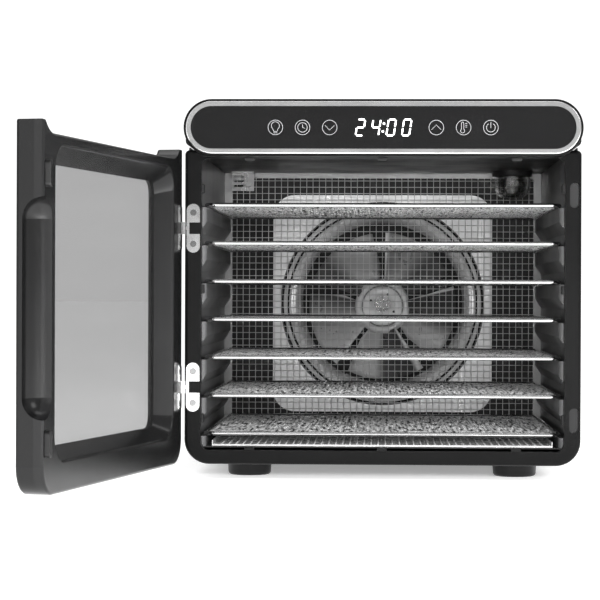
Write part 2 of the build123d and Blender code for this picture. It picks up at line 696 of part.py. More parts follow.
def knuckle(z, low, high):
    """A barrel section with its arm, between two heights measured from the hinge's middle."""
    barrel = rod_z(HINGE_X, HINGE_Y, BARREL_R, z + low, z + high)
    arm = block(HINGE_X, LEAF_X - 4.5, -LEAF_PROUD, LEAF_T - LEAF_PROUD, z + low, z + high)
    return barrel + arm


def body_hinge_leaves():
    """The two leaves on the cabinet, each with one middle knuckle that grips the pin."""
    shapes = []
    for z in HINGE_Z:
        half = KNUCKLE_H / 2
        leaf_and_arm = leaf(z) + knuckle(z, -half, half)
        shapes.append(leaf_and_arm - rod_z(HINGE_X, HINGE_Y, PIN_R, z - 20, z + 20))
    return group(shapes)


def door_hinge_leaves():
    """The two leaves on the door, each with an upper and a lower knuckle that turn on the pin."""
    inner = KNUCKLE_H / 2 + KNUCKLE_GAP
    shapes = []
    for z in HINGE_Z:
        piece = mirror(leaf(z), Plane.XZ).moved(Pos(0, DOOR_INNER, 0))
        for low, high in ((-inner - KNUCKLE_H, -inner), (inner, inner + KNUCKLE_H)):
            piece += rod_z(HINGE_X, HINGE_Y, BARREL_R, z + low, z + high)
            piece += block(
                HINGE_X, LEAF_X - 4.5, DOOR_INNER - LEAF_T + LEAF_PROUD, DOOR_INNER + LEAF_PROUD,
                z + low, z + high,
            )
        shapes.append(piece - rod_z(HINGE_X, HINGE_Y, PIN_R + RUNNING_GAP, z - 20, z + 20))
    return at_rest(group(shapes))


def hinge_pins():
    """One pin through each hinge's knuckles."""
    reach = 1.5 * KNUCKLE_H + KNUCKLE_GAP
    return group(rod_z(HINGE_X, HINGE_Y, PIN_R, z - reach, z + reach) for z in HINGE_Z)


def body_hinge_screws():
    """Four cross-head screws through the cabinet's leaves."""
    screw = Rot(90, 0, 0) * cross_screw(2.7, 0.7, 1.4, 7.0)
    return group(Pos(LEAF_X, -0.1, z) * screw for z in screw_places())


def door_hinge_screws():
    """Four cross-head screws through the door's leaves."""
    screw = Rot(-90, 0, 0) * cross_screw(2.7, 0.7, 1.4, 7.0)
    return at_rest(group(Pos(LEAF_X, DOOR_INNER + 0.1, z) * screw for z in screw_places()))


# ---- trays -----------------------------------------------------------------------------------
def tray_ring():
    """The bent rod round a tray, centred on z = 0."""
    depth = TRAY_BACK - TRAY_FRONT
    path = Pos(0, (TRAY_FRONT + TRAY_BACK) / 2) * RectangleRounded(
        2 * (TRAY_HALF_W - ROD_R), depth - 2 * ROD_R, 8.0
    )
    wire = path.wire()
    start = wire @ 0
    section = Plane(origin=start, z_dir=wire % 0) * Circle(ROD_R)
    return sweep(section, path=wire)


def tray_sheet(ring):
    """A tray's mesh as one thin sheet that ends against the rod."""
    depth = TRAY_BACK - TRAY_FRONT
    outline_xy = Pos(0, (TRAY_FRONT + TRAY_BACK) / 2) * RectangleRounded(
        2 * (TRAY_HALF_W - ROD_R), depth - 2 * ROD_R, 8.0
    )
    return extrude(Plane.XY.offset(-MESH_T / 2) * outline_xy, amount=MESH_T) - ring


def drip_tray():
    """The shallow polished pan on the floor, with low front lip and higher sides."""
    low = FLOOR_TOP + CLEAR
    half = 147.0
    pan = block(-half, half, TRAY_FRONT + 1, TRAY_BACK, low, low + 0.8)
    pan += block(-half, half, TRAY_FRONT + 1, TRAY_FRONT + 2.4, low, low + 1.5)
    pan += block(-half, half, TRAY_BACK - 0.8, TRAY_BACK, low, low + 4.8)
    for side in (-1, 1):
        inner, outer = sorted((side * half, side * (half - 0.8)))
        pan += block(inner, outer, TRAY_FRONT + 1, TRAY_BACK, low, low + 4.8)
    return pan


# ---- files -----------------------------------------------------------------------------------
def all_parts():
    """Every node by name, in the rest pose."""
    parts = {
        "front_frame": front_frame(),
        "casing_wrap": casing_wrap(),
        "top_cover": top_cover(),
        "rear_panel": rear_panel(),
        "case_screws": case_screws(),
        "feet": feet(),
        "frame_clips": frame_clips(),
        "frame_magnets": frame_magnets(),
        "left_tray_rack": tray_rack(-1),
        "right_tray_rack": tray_rack(1),
        "chamber_ceiling": chamber_ceiling(),
        "chamber_floor": chamber_floor(),
        "chamber_back_wall": chamber_back_wall(),
        "fan_plate": fan_plate(),
        "fan_rim": fan_rim(),
        "fan_guard_frame": fan_guard_frame(),
        "fan_guard_mesh": fan_guard_mesh(),
        "sensor_bracket": sensor_bracket(),
        "fan_housing": fan_housing(),
        "fan_blades": fan_blades(),
        "fan_nut": fan_nut(),
        "motor_shaft": motor_shaft(),
        "fan_motor": fan_motor(),
        "heating_element": heating_element(),
        "thermal_cutout": thermal_cutout(),
        "lamp_socket": lamp_socket(),
        "lamp_glass": lamp_glass(),
        "lamp_bulb": lamp_bulb(),
        "control_housing": control_housing(),
        "control_trim_ring": control_trim_ring(),
        "touch_panel": touch_panel(),
        "control_board": control_board(),
        "power_board": power_board(),
        "mains_inlet": mains_inlet(),
        "door_frame": door_frame(),
        "door_inner_frame": door_inner_frame(),
        "door_glass": door_glass(),
        "door_strikes": door_strikes(),
        "body_hinge_leaves": body_hinge_leaves(),
        "door_hinge_leaves": door_hinge_leaves(),
        "hinge_pins": hinge_pins(),
        "body_hinge_screws": body_hinge_screws(),
        "door_hinge_screws": door_hinge_screws(),
        "drip_tray": drip_tray(),
    }
    ring = tray_ring()
    sheet = tray_sheet(ring)
    for n, z in enumerate(rail_heights(), start=1):
        parts[f"tray_{n}_frame"] = ring.moved(Pos(0, 0, z))
        parts[f"tray_{n}_mesh"] = sheet.moved(Pos(0, 0, z))
    return parts


os.makedirs("parts", exist_ok=True)
for name, shape in all_parts().items():
    export_step(shape, f"parts/{name}.step")
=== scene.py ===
"""Looks of the food dehydrator: materials, wire grids, display, lights, floor and camera."""
from math import cos, pi, radians, sin, tan

import bmesh
import bpy
from mathutils import Matrix, Vector

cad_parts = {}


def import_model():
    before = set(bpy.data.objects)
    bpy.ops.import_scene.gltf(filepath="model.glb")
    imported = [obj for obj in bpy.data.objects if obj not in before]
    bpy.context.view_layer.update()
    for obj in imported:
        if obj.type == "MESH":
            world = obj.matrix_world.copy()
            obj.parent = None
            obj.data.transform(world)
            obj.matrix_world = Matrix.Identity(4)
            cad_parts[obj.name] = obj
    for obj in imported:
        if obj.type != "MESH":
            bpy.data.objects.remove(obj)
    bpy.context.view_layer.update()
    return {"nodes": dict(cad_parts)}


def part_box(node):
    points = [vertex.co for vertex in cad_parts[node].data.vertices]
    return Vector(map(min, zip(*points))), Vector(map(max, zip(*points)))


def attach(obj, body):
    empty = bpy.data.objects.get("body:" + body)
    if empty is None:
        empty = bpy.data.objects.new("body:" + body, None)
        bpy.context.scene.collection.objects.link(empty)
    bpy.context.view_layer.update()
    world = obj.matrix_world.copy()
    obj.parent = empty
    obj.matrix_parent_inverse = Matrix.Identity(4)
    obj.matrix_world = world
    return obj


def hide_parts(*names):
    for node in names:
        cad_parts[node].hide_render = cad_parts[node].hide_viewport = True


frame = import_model()
NODES = frame["nodes"]
TRAYS = range(1, 8)

# ---- sizes in metres -------------------------------------------------------------------------
TRAY_WIRE_PITCH = 0.0030
TRAY_WIRE_R = 0.00040
GRID_INSET = 0.002  # the least distance from a grid's edge to a wire
WIRE_END_GAP = 0.0006
GUARD_PITCH = 0.00635
GUARD_WIRE_R = 0.00036
DIGIT_H = 0.0135
DIGIT_W = 0.0063
DIGIT_LINE = 0.00112
DIGIT_SLANT = tan(radians(8.5))
DIGITS = (("2", -0.01905), ("4", -0.0060), ("0", 0.0070), ("0", 0.02005))
KEY_R = 0.0062
KEY_LINE = 0.00028
KEY_X = (0.0451, 0.0681, 0.0911)  # each side of the display
INK_T = 0.00008
RIB_PITCH = 0.0062
RIB_R = 0.0006
RIB_INSET = 0.006
RIB_LIFT = 0.0007
FAN_PLANE_Y = 0.3458
# A blade's two edges, each as a radius and a distance from the blade's middle line.
BLADE_LOW = ((0.016, -0.009), (0.040, -0.026), (0.076, -0.040))
BLADE_HIGH = ((0.016, 0.009), (0.030, 0.016), (0.062, 0.033), (0.076, 0.040))
BLADE_TWIST = ((0.016, 30.0), (0.076, 14.0))  # radius and degrees
BLADE_CAMBER = 0.0080
BLADE_ROOT = 0.0255
BLADE_TIP = 0.0745
FIRST_BLADE = 15.0  # degrees
RING_REACH = 0.12  # the radius at the end of a ring ramp
SHEET_T = 0.0011
HUB_HOLE_REACH = 0.0129
HUB_HOLE_R = 0.0013
HUB_HOLE_TURN = 64.5  # degrees
HUB_PROFILE = (  # radius and Y
    (0.0030, 0.3440), (0.0190, 0.3440), (0.0198, 0.3443), (0.0203, 0.3455), (0.0210, 0.3455),
    (0.0216, 0.3446), (0.0255, 0.3449), (0.0268, 0.3462), (0.0272, 0.3475),
)
CAMERA_PLACE = (0.00023, -1.881, 0.15719)
CAMERA_TURNS = (2.156, -0.09, 0.211)  # yaw, pitch and roll in degrees
CAMERA_LENS = 131.58  # millimetres


# ---- materials -------------------------------------------------------------------------------
def principled(name, colour, rough, metal=0.0, **sockets):
    """A Principled material with plain values on the shader's own sockets."""
    mat = bpy.data.materials.new(name)
    mat.use_nodes = True
    shader = mat.node_tree.nodes["Principled BSDF"]
    shader.inputs["Base Color"].default_value = (*colour, 1.0)
    shader.inputs["Roughness"].default_value = rough
    shader.inputs["Metallic"].default_value = metal
    for socket, value in sockets.items():
        shader.inputs[socket.replace("_", " ")].default_value = value
    return mat


def noise(mat, scale, stretch=(1, 1, 1), detail=4.0):
    """A noise texture in the object's own coordinates, stretched to make grain."""
    tree = mat.node_tree
    coords = tree.nodes.new("ShaderNodeTexCoord")
    mapping = tree.nodes.new("ShaderNodeMapping")
    mapping.inputs["Scale"].default_value = stretch
    texture = tree.nodes.new("ShaderNodeTexNoise")
    texture.inputs["Scale"].default_value = scale
    texture.inputs["Detail"].default_value = detail
    tree.links.new(coords.outputs["Object"], mapping.inputs["Vector"])
    tree.links.new(mapping.outputs["Vector"], texture.inputs["Vector"])
    return texture.outputs["Fac"]


def spread(mat, value, low, high):
    """Stretches the middle of a noise value to run from low to high."""
    tree = mat.node_tree
    ranged = tree.nodes.new("ShaderNodeMapRange")
    ranged.inputs["From Min"].default_value = 0.32
    ranged.inputs["From Max"].default_value = 0.68
    ranged.inputs["To Min"].default_value = low
    ranged.inputs["To Max"].default_value = high
    tree.links.new(value, ranged.inputs["Value"])
    return ranged.outputs["Result"]


def rough_by(mat, value, low, high):
    """Lets the roughness wander between two values."""
    shader = mat.node_tree.nodes["Principled BSDF"]
    mat.node_tree.links.new(spread(mat, value, low, high), shader.inputs["Roughness"])


def bump_by(mat, value, height, strength=1.0):
    """Raises the surface by the noise, to the given height in metres."""
    tree = mat.node_tree
    bump = tree.nodes.new("ShaderNodeBump")
    bump.inputs["Strength"].default_value = strength
    bump.inputs["Distance"].default_value = height
    tree.links.new(value, bump.inputs["Height"])
    tree.links.new(bump.outputs["Normal"], tree.nodes["Principled BSDF"].inputs["Normal"])


def colour_by(mat, value, dark, light):
    """Lets the colour wander between two greys or tints."""
    tree = mat.node_tree
    mix = tree.nodes.new("ShaderNodeMix")
    mix.data_type = "RGBA"
    mix.inputs["A"].default_value = (*dark, 1.0)
    mix.inputs["B"].default_value = (*light, 1.0)
    tree.links.new(spread(mat, value, 0.0, 1.0), mix.inputs["Factor"])
    tree.links.new(mix.outputs["Result"], tree.nodes["Principled BSDF"].inputs["Base Color"])


def moulded_plastic(name, grey, rough, grain=900.0, height=0.00002, gloss=0.5):
    """Semi-gloss moulded plastic with a fine spark-eroded grain and faint flow marks."""
    mat = principled(name, (grey, grey, grey * 1.04), rough, Specular_IOR_Level=gloss)
    bump_by(mat, noise(mat, grain, detail=2.0), height, 0.35)
    rough_by(mat, noise(mat, 22.0), rough - 0.025, rough + 0.03)
    colour_by(mat, noise(mat, 9.0), (grey * 0.92,) * 3, (grey * 1.08, grey * 1.08, grey * 1.12))
    return mat


def coated_steel(name, grey, rough):
    """Powder-coated sheet with a fine orange-peel surface."""
    mat = principled(name, (grey, grey, grey * 1.03), rough)
    bump_by(mat, noise(mat, 420.0, detail=3.0), 0.00004, 0.45)
    rough_by(mat, noise(mat, 30.0), rough - 0.06, rough + 0.07)
    colour_by(mat, noise(mat, 14.0), (grey * 0.85,) * 3, (grey * 1.15,) * 3)
    return mat


def brushed_steel(name, grey, low, high, stretch, metal=0.8):
    """Bright steel with a brushed grain along one axis and soft bands across it."""
    mat = principled(name, (grey, grey, grey * 0.99), (low + high) / 2, metal)
    bump_by(mat, noise(mat, 1500.0, stretch, 3.0), 0.000006, 0.3)
    rough_by(mat, noise(mat, 70.0, stretch), low, high)
    colour_by(mat, noise(mat, 26.0, stretch), (grey * 0.82,) * 3, (min(grey * 1.1, 0.95),) * 3)
    return mat


def polished_steel(name, grey, low, high, metal=0.85):
    """Polished steel with faint wipe marks."""
    mat = principled(name, (grey, grey, grey), (low + high) / 2, metal)
    bump_by(mat, noise(mat, 240.0, detail=2.0), 0.000004, 0.15)
    rough_by(mat, noise(mat, 60.0), low, high)
    colour_by(mat, noise(mat, 40.0), (grey * 0.92,) * 3, (min(grey * 1.06, 0.96),) * 3)
    return mat


def clear_plastic(name, colour, alpha, rough, gloss):
    """A thin clear or tinted pane that light passes straight through."""
    mat = principled(name, colour, rough, Alpha=alpha, IOR=1.5, Specular_IOR_Level=gloss)
    bump_by(mat, noise(mat, 6.0, detail=1.0), 0.0002, 0.1)
    rough_by(mat, noise(mat, 45.0), rough * 0.9, rough * 1.1)
    return mat


def lamp_glass(name):
    """Clear pressed glass."""
    mat = principled(name, (0.96, 0.96, 0.96), 0.02, IOR=1.45, Transmission_Weight=1.0)
    bump_by(mat, noise(mat, 90.0, detail=1.0), 0.00002, 0.3)
    rough_by(mat, noise(mat, 120.0), 0.01, 0.05)
    return mat


def woven_steel(name, dark, light):
    """Bright crimped wire with painted highlights: its colour runs unevenly from dark to bright, in short
    streaks along the tray.
    """
    mat = principled(name, (light, light, light), 0.32, 0.7)
    # Painted highlights: colour noise from near black to bright, which also steers the roughness.
    painted_glint = noise(mat, 340.0, (1.0, 0.10, 1.0), 1.0)
    colour_by(mat, painted_glint, (dark,) * 3, (light,) * 3)
    rough_by(mat, painted_glint, 0.45, 0.2)
    bump_by(mat, noise(mat, 1200.0), 0.00001, 0.3)
    return mat


def from_axis(mat, node):
    """Each point's offset from a round node's axis along Y, as a vector in the XZ plane."""
    tree = mat.node_tree
    low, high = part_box(node)
    middle = (low + high) / 2
    coords = tree.nodes.new("ShaderNodeTexCoord")
    flat = tree.nodes.new("ShaderNodeVectorMath")
    flat.operation = "MULTIPLY_ADD"
    flat.inputs[1].default_value = (1.0, 0.0, 1.0)
    flat.inputs[2].default_value = (-middle.x, 0.0, -middle.z)
    tree.links.new(coords.outputs["Object"], flat.inputs[0])
    return flat.outputs["Vector"]


def maths(mat, operation, value, number):
    """One arithmetic step on a value."""
    step = mat.node_tree.nodes.new("ShaderNodeMath")
    step.operation = operation
    mat.node_tree.links.new(value, step.inputs[0])
    step.inputs[1].default_value = number
    return step.outputs["Value"]


def grey_ramp(mat, value, bands):
    """Sets the colour from a value between 0 and 1, by (value, grey) pairs."""
    tree = mat.node_tree
    ramp = tree.nodes.new("ShaderNodeValToRGB")
    elements = ramp.color_ramp.elements
    while len(elements) < len(bands):
        elements.new(0.5)
    for element, (place, grey) in zip(elements, bands):
        element.position = place
        element.color = (grey, grey, grey, 1.0)
    tree.links.new(value, ramp.inputs["Fac"])
    tree.links.new(ramp.outputs["Color"], tree.nodes["Principled BSDF"].inputs["Base Color"])


def rings_by(mat, node, bands):
    """Sets the colour by the distance from a round node's axis: (metres, grey) pairs."""
    tree = mat.node_tree
    reach = tree.nodes.new("ShaderNodeVectorMath")
    reach.operation = "LENGTH"
    tree.links.new(from_axis(mat, node), reach.inputs[0])
    share = maths(mat, "DIVIDE", reach.outputs["Value"], RING_REACH)
    grey_ramp(mat, share, [(radius / RING_REACH, grey) for radius, grey in bands])


def sweep_by(mat, node, bands):
    """Sets the colour by the angle round a node's axis: (degrees anticlockwise from +X, grey)."""
    tree = mat.node_tree
    parts = tree.nodes.new("ShaderNodeSeparateXYZ")
    tree.links.new(from_axis(mat, node), parts.inputs["Vector"])
    angle = tree.nodes.new("ShaderNodeMath")
    angle.operation = "ARCTAN2"
    tree.links.new(parts.outputs["Z"], angle.inputs[0])
    tree.links.new(parts.outputs["X"], angle.inputs[1])
    share = maths(mat, "DIVIDE", angle.outputs["Value"], 2 * pi)
    share = maths(mat, "WRAP", share, 1.0)
    share.node.inputs[2].default_value = 0.0
    grey_ramp(mat, share, [(degrees / 360.0, grey) for degrees, grey in bands])


def hub_painted_shade(name):
    """The bright hub plate, with painted shade in its rolled groove."""
    mat = principled(name, (0.6, 0.6, 0.6), 0.35, 0.55)
    # Painted shade: a dark ring of colour over the rolled groove.
    rings_by(mat, "fan_blades", [(0.0195, 0.95), (0.0203, 0.2), (0.0208, 0.2), (0.0214, 0.9)])
    rough_by(mat, noise(mat, 90.0), 0.28, 0.42)
    bump_by(mat, noise(mat, 1500.0), 0.000006, 0.3)
    return mat


def blade_painted_reflections(name):
    """Satin blades with painted reflections that sweep from dark to light, and a painted highlight along
    each leading edge.
    """
    mat = principled(name, (0.4, 0.4, 0.4), 0.32, 0.45)
    # Painted reflections and highlights, as (degrees, grey) pairs round the fan's axis.
    bands = [
        (0, 0.07), (13, 0.08), (15, 0.95), (18, 0.08), (44, 0.10), (62, 0.45), (84, 0.30),
        (87, 0.90), (91, 0.08), (106, 0.50), (130, 0.50), (144, 0.12), (162, 0.08), (165, 0.95),
        (169, 0.08), (180, 0.18), (205, 0.60), (236, 0.90), (242, 0.55), (264, 0.60), (272, 0.12),
        (297, 0.08), (300, 0.95), (305, 0.50), (332, 0.62), (345, 0.10),
    ]
    sweep_by(mat, "fan_blades", bands)
    rough_by(mat, noise(mat, 90.0), 0.26, 0.40)
    bump_by(mat, noise(mat, 1500.0), 0.000006, 0.3)
    return mat


def rim_painted_reflections(name):
    """Polished bell-mouth with painted reflections: two thin dark rings where its rolled beads mirror the
    dark chamber, and a darker inner edge.
    """
    mat = principled(name, (0.9, 0.9, 0.9), 0.08, 0.6)
    # Painted reflections, as (metres from the fan's axis, grey) pairs.
    bands = [
        (0.0790, 0.30), (0.0880, 0.85), (0.0933, 0.95), (0.0938, 0.02), (0.0953, 0.02),
        (0.0958, 0.95), (0.0988, 0.95), (0.0993, 0.02), (0.1030, 0.02),
    ]
    rings_by(mat, "fan_rim", bands)
    rough_by(mat, noise(mat, 60.0), 0.06, 0.12)
    return mat


def lit_ink(name, colour, strength):
    """The display's light or a key's backlit print, with a slightly uneven glow."""
    mat = principled(name, colour, 0.5, Emission_Color=(*colour, 1.0), Emission_Strength=strength)
    colour_by(mat, noise(mat, 500.0), tuple(c * 0.9 for c in colour), colour)
    return mat


def paint(mat, *nodes):
    """Gives CAD nodes the material in every slot."""
    for name in nodes:
        slots = NODES[name].data.materials
        if not slots:
            slots.append(mat)
        for i in range(len(slots)):
            slots[i] = mat


# ---- mesh pieces -----------------------------------------------------------------------------
def piece(name, bm, mat, body, smooth=False):
    """Makes an object of the mesh, which rides on a body and wears the given material."""
    bmesh.ops.recalc_face_normals(bm, faces=bm.faces)
    data = bpy.data.meshes.new(name)
    bm.to_mesh(data)
    bm.free()
    data.materials.append(mat)
    for face in data.polygons:
        face.use_smooth = smooth
    obj = bpy.data.objects.new(name, data)
    bpy.context.scene.collection.objects.link(obj)
    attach(obj, body)
    return obj


def wire(bm, points, radius, sides=6):
    """A round wire through points that lie nearly on one straight line."""
    along = (points[-1] - points[0]).normalized()
    across = along.cross(Vector((0, 0, 1)))
    if across.length < 0.1:
        across = Vector((1, 0, 0))
    across.normalize()
    lift = across.cross(along)
    turns = [2 * pi * (k + 0.5) / sides for k in range(sides)]
    rings = [
        [bm.verts.new(p + across * (radius * cos(t)) + lift * (radius * sin(t))) for t in turns]
        for p in points
    ]
    for a, b in zip(rings, rings[1:]):
        for k in range(sides):
            n = (k + 1) % sides
            bm.faces.new((a[k], a[n], b[n], b[k]))
    bm.faces.new(rings[0])
    bm.faces.new(rings[-1])


def evenly(low, high, pitch):
    """Places at about the given pitch from low to high, with equal ends."""
    count = int((high - low) / pitch)
    start = (low + high - count * pitch) / 2
    return [start + pitch * k for k in range(count + 1)]


def woven_grid(xs, ys, ends_x, ends_y, z):
    """Two sets of crimped wires that pass over and under each other."""
    bm = bmesh.new()
    rise = TRAY_WIRE_R * 0.8
    for i, x in enumerate(xs):
        wave = [Vector((x, y, z + rise * (-1) ** (i + j))) for j, y in enumerate(ys)]
        wire(bm, [Vector((x, ends_y[0], z)), *wave, Vector((x, ends_y[1], z))], TRAY_WIRE_R, 4)
    for j, y in enumerate(ys):
        wave = [Vector((x, y, z - rise * (-1) ** (i + j))) for i, x in enumerate(xs)]
        wire(bm, [Vector((ends_x[0], y, z)), *wave, Vector((ends_x[1], y, z))], TRAY_WIRE_R, 4)
    return bm


def tray_meshes(mat):
    """The woven grid of each tray, from one shared mesh."""
    low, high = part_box("tray_1_mesh")
    xs = evenly(low.x + GRID_INSET, high.x - GRID_INSET, TRAY_WIRE_PITCH)
    ys = evenly(low.y + GRID_INSET, high.y - GRID_INSET, TRAY_WIRE_PITCH)
    ends_x = (low.x + WIRE_END_GAP, high.x - WIRE_END_GAP)
    ends_y = (low.y + WIRE_END_GAP, high.y - WIRE_END_GAP)
    bm = woven_grid(xs, ys, ends_x, ends_y, 0.0)
    data = bpy.data.meshes.new("tray_grid")
    bm.to_mesh(data)
    bm.free()
    data.materials.append(mat)
    for n in TRAYS:
        low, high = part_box(f"tray_{n}_mesh")
        obj = bpy.data.objects.new(f"tray_{n}_grid", data)
        obj.location = (0, 0, (low.z + high.z) / 2)
        bpy.context.scene.collection.objects.link(obj)
        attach(obj, f"tray_{n}")
        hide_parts(f"tray_{n}_mesh")


def guard_grid(mat):
    """The guard's welded grid: upright wires in front of level ones."""
    low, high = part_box("fan_guard_mesh")
    middle = (low.y + high.y) / 2
    bm = bmesh.new()
    for x in evenly(low.x + GRID_INSET, high.x - GRID_INSET, GUARD_PITCH):
        y = middle - GUARD_WIRE_R * 0.8
        wire(bm, [Vector((x, y, low.z)), Vector((x, y, high.z))], GUARD_WIRE_R, 8)
    for z in evenly(low.z + GRID_INSET, high.z - GRID_INSET, GUARD_PITCH):
        y = middle + GUARD_WIRE_R * 0.8
        wire(bm, [Vector((low.x, y, z)), Vector((high.x, y, z))], GUARD_WIRE_R, 8)
    grid = piece("guard_grid", bm, mat, "housing", smooth=True)
    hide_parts("fan_guard_mesh")


def turned_disc(bm, profile, steps=96):
    """A surface of revolution about Y through (radius, y) points."""
    rings = []
    for radius, y in profile:
        turns = [2 * pi * k / steps for k in range(steps)]
        rings.append([bm.verts.new((radius * cos(t), y, radius * sin(t))) for t in turns])
    for a, b in zip(rings, rings[1:]):
        for k in range(steps):
            n = (k + 1) % steps
            bm.faces.new((a[k], a[n], b[n], b[k]))


def between(radius, corners):
    """The value at a radius on a line through (radius, value) corners."""
    for (r0, v0), (r1, v1) in zip(corners, corners[1:]):
        if radius <= r1:
            return v0 + (v1 - v0) * (radius - r0) / (r1 - r0)
    return corners[-1][1]


def blade_sheet(bm, angle, steps=14):
    """One cambered, twisted blade, which leaves the hub at the given angle."""
    rows = []
    for i in range(steps + 1):
        radius = BLADE_ROOT + (BLADE_TIP - BLADE_ROOT) * i / steps
        low = between(radius, BLADE_LOW)
        high = between(radius, BLADE_HIGH)
        twist = radians(between(radius, BLADE_TWIST))
        row = []
        for j in range(steps + 1):
            across = low + (high - low) * j / steps
            bulge = BLADE_CAMBER * (1 - (2.0 * j / steps - 1) ** 2) * min(1.0, radius / 0.05)
            y = FAN_PLANE_Y - across * sin(twist) + bulge
            z = across * cos(twist)
            x = (radius ** 2 - min(abs(z), radius * 0.9) ** 2) ** 0.5
            row.append(bm.verts.new((x * cos(angle) + z * sin(angle), y, z * cos(angle) - x * sin(angle))))
        rows.append(row)
    for a, b in zip(rows, rows[1:]):
        for j in range(steps):
            bm.faces.new((a[j], a[j + 1], b[j + 1], b[j]))


def thicken(obj, thickness):
    """Gives a sheet its thickness."""
    solid = obj.modifiers.new("thickness", "SOLIDIFY")
    solid.thickness = thickness
    solid.offset = 0.0


def fan_sheet(name, bm, mat):
    """A sheet-metal piece of the fan, made round the origin and raised to the fan's axis."""
    low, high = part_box("fan_blades")
    bmesh.ops.translate(bm, verts=bm.verts, vec=(0.0, 0.0, (low.z + high.z) / 2))
    obj = piece(name, bm, mat, "fan", smooth=True)
    thicken(obj, SHEET_T)
    return obj


def fan_wheel(blade_mat, hub_mat):
    """Five cambered blades and the dished hub plate that carries them."""
    blades = bmesh.new()
    for n in range(5):
        blade_sheet(blades, radians(FIRST_BLADE + 72.0 * n))
    wheel = fan_sheet("fan_wheel", blades, blade_mat)
    plate = bmesh.new()
    turned_disc(plate, HUB_PROFILE)
    fan_sheet("fan_hub", plate, hub_mat)
    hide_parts("fan_blades")


def hub_holes(mat):
    """Four small holes round the fan's nut, each shown by a short dark plug that is painted shade standing
    in for the hole.
    """
    low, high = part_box("fan_blades")
    middle_z = (low.z + high.z) / 2
    bm = bmesh.new()
    for n in range(4):
        turn = radians(HUB_HOLE_TURN + 90.0 * n)
        x = HUB_HOLE_REACH * cos(turn)
        z = middle_z + HUB_HOLE_REACH * sin(turn)
        place = Vector((x, FAN_PLANE_Y - 0.0026, z))
        wire(bm, [place, place + Vector((0.0, 0.0016, 0.0))], HUB_HOLE_R, 16)
    piece("hub_hole_shade", bm, mat, "fan")


def pan_ribs(mat):
    """The drip tray's pressed ribs, which run from front to back."""
    low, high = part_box("drip_tray")
    bm = bmesh.new()
    for x in evenly(low.x + RIB_INSET, high.x - RIB_INSET, RIB_PITCH):
        front = Vector((x, low.y + RIB_INSET, low.z + RIB_LIFT))
        back = Vector((x, high.y - RIB_INSET, low.z + RIB_LIFT))
        wire(bm, [front, back], RIB_R, 10)
    piece("drip_tray_ribs", bm, mat, "drip_tray_body", smooth=True)


# ---- printed and lit marks on the touch panel ------------------------------------------------
def line(bm, points, width, closed=False):
    """A flat raised line of the given width through points (x, z) on the panel."""
    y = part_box("touch_panel")[0].y
    count = len(points)
    rows = []
    for i, (x, z) in enumerate(points):
        before = points[(i - 1) % count] if closed or i else points[i]
        after = points[(i + 1) % count] if closed or i < count - 1 else points[i]
        way = Vector((after[0] - before[0], after[1] - before[1])).normalized()
        side = Vector((-way.y, way.x)) * width / 2
        rows.append([
            bm.verts.new((x + s * side.x, depth, z + s * side.y))
            for s, depth in ((1, y - INK_T), (-1, y - INK_T), (-1, y), (1, y))
        ])
    pairs = list(zip(rows, rows[1:] + rows[:1])) if closed else list(zip(rows, rows[1:]))
    for a, b in pairs:
        for k in range(4):
            n = (k + 1) % 4
            bm.faces.new((a[k], a[n], b[n], b[k]))
    if not closed:
        bm.faces.new(rows[0])
        bm.faces.new(rows[-1])


def arc(cx, cz, r, start, end, steps=40):
    """Points on a circle from one angle to another, in degrees, anticlockwise from +X."""
    angles = [radians(start + (end - start) * k / steps) for k in range(steps + 1)]
    return [(cx + r * cos(a), cz + r * sin(a)) for a in angles]


def circle(bm, cx, cz, r, width):
    """A thin ring."""
    line(bm, arc(cx, cz, r, 0, 360, 48)[:-1], width, closed=True)


def seven_segment(bm, character, cx, cz):
    """One slanted digit of a seven-segment display."""
    w, h, g = DIGIT_W / 2, DIGIT_H / 2, DIGIT_LINE * 0.62
    ends = {
        "a": ((-w + g, h), (w - g, h)), "g": ((-w + g, 0), (w - g, 0)), "d": ((-w + g, -h), (w - g, -h)),
        "f": ((-w, h - g), (-w, g)), "b": ((w, h - g), (w, g)),
        "e": ((-w, -g), (-w, -h + g)), "c": ((w, -g), (w, -h + g)),
    }
    lit = {"0": "abcdef", "2": "abged", "4": "fgbc"}[character]
    for name in lit:
        points = [(cx + x + z * DIGIT_SLANT, cz + z) for x, z in ends[name]]
        line(bm, points, DIGIT_LINE)


def display(mat, cz):
    """The time on the display, with its colon."""
    bm = bmesh.new()
    for character, cx in DIGITS:
        seven_segment(bm, character, cx, cz)
    for z in (0.0033, -0.0033):
        x = 0.0004 + z * DIGIT_SLANT
        line(bm, [(x, cz + z - 0.0008), (x, cz + z + 0.0008)], 0.0016)
    piece("display_digits", bm, mat, "housing")


def chevron(bm, cx, cz, up):
    """An arrowhead that points up or down."""
    s = 1 if up else -1
    foot = cz - s * 0.0018
    line(bm, [(cx - 0.0040, foot), (cx, cz + s * 0.0022), (cx + 0.0040, foot)], KEY_LINE)


def lamp_icon(bm, cx, cz):
    """A light bulb."""
    line(bm, arc(cx, cz + 0.0014, 0.0034, -50, 230, 30), KEY_LINE)
    for side in (-1, 1):
        line(bm, [(cx + side * 0.0022, cz - 0.0012), (cx + side * 0.0016, cz - 0.0030)], KEY_LINE)
    for z in (-0.0034, -0.0046):
        line(bm, [(cx - 0.0016, cz + z), (cx + 0.0016, cz + z)], KEY_LINE)


def clock_icon(bm, cx, cz):
    """A clock face with two hands."""
    circle(bm, cx, cz, 0.0040, KEY_LINE)
    line(bm, [(cx, cz + 0.0026), (cx, cz), (cx + 0.0019, cz - 0.0008)], KEY_LINE)


